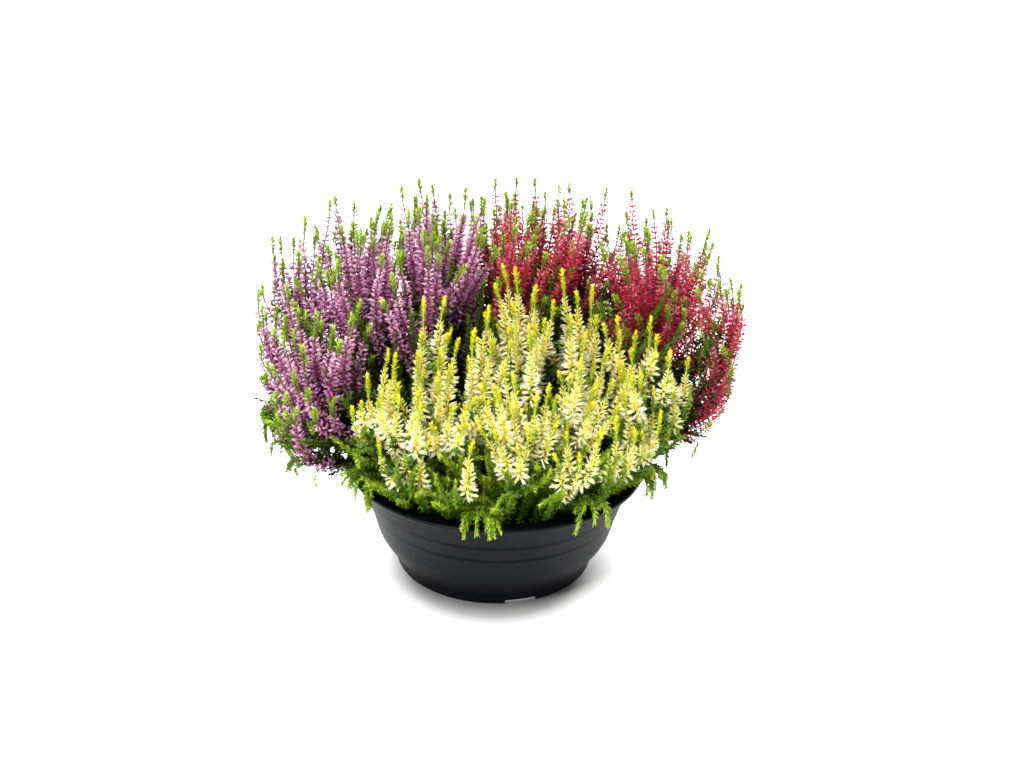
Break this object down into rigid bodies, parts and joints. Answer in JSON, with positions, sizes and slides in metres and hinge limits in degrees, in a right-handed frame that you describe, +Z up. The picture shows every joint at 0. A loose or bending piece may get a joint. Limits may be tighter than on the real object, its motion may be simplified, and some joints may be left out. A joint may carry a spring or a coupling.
{
  "type": "potted heather",
  "caption": "Round plastic planter bowl filled with soil and planted with purple, crimson and cream-white heathers.",
  "frame": {"origin": "on the bowl's axis, on the surface that the bowl stands on", "axes": "+Z up along the bowl's axis; -Y to the front, where the white heather stands; +X to the right, where the red one leans out"},
  "size_m": [0.3633, 0.2701, 0.2874],
  "materials": {
    "bowl": "satin",
    "soil": "matte",
    "purple_flower": "matte",
    "red_flower": "matte",
    "white_flower": "matte",
    "leaf": "matte"
  },
  "bodies": {
    "root": {"bowl": "bowl", "soil": "soil", "purple_flower_spray_01": "purple_flower", "purple_flower_spray_02": "purple_flower", "purple_flower_spray_03": "purple_flower", "purple_flower_spray_04": "purple_flower", "purple_flower_spray_05": "purple_flower", "purple_flower_spray_06": "purple_flower", "purple_flower_spray_07": "purple_flower", "purple_flower_spray_08": "purple_flower", "purple_flower_spray_09": "purple_flower", "purple_flower_spray_10": "purple_flower", "purple_flower_spray_11": "purple_flower", "purple_flower_spray_12": "purple_flower", "purple_flower_spray_13": "purple_flower", "purple_flower_spray_14": "purple_flower", "purple_leafy_spray_01": "leaf", "purple_leafy_spray_02": "leaf", "purple_leafy_spray_03": "leaf", "red_flower_spray_01": "red_flower", "red_flower_spray_02": "red_flower", "red_flower_spray_03": "red_flower", "red_flower_spray_04": "red_flower", "red_flower_spray_05": "red_flower", "red_flower_spray_06": "red_flower", "red_flower_spray_07": "red_flower", "red_flower_spray_08": "red_flower", "red_flower_spray_09": "red_flower", "red_flower_spray_10": "red_flower", "red_flower_spray_11": "red_flower", "red_flower_spray_12": "red_flower", "red_flower_spray_13": "red_flower", "red_flower_spray_14": "red_flower", "red_leafy_spray_01": "leaf", "red_leafy_spray_02": "leaf", "red_leafy_spray_03": "leaf", "white_flower_spray_01": "white_flower", "white_flower_spray_02": "white_flower", "white_flower_spray_03": "white_flower", "white_flower_spray_04": "white_flower", "white_flower_spray_05": "white_flower", "white_flower_spray_06": "white_flower", "white_flower_spray_07": "white_flower", "white_flower_spray_08": "white_flower", "white_flower_spray_09": "white_flower", "white_flower_spray_10": "white_flower", "white_flower_spray_11": "white_flower", "white_flower_spray_12": "white_flower", "white_flower_spray_13": "white_flower", "white_flower_spray_14": "white_flower", "white_flower_spray_15": "white_flower", "white_flower_spray_16": "white_flower", "white_flower_spray_17": "white_flower", "white_leafy_spray_01": "leaf", "white_leafy_spray_02": "leaf", "white_leafy_spray_03": "leaf", "white_leafy_spray_04": "leaf"}
  },
  "joints": []
}
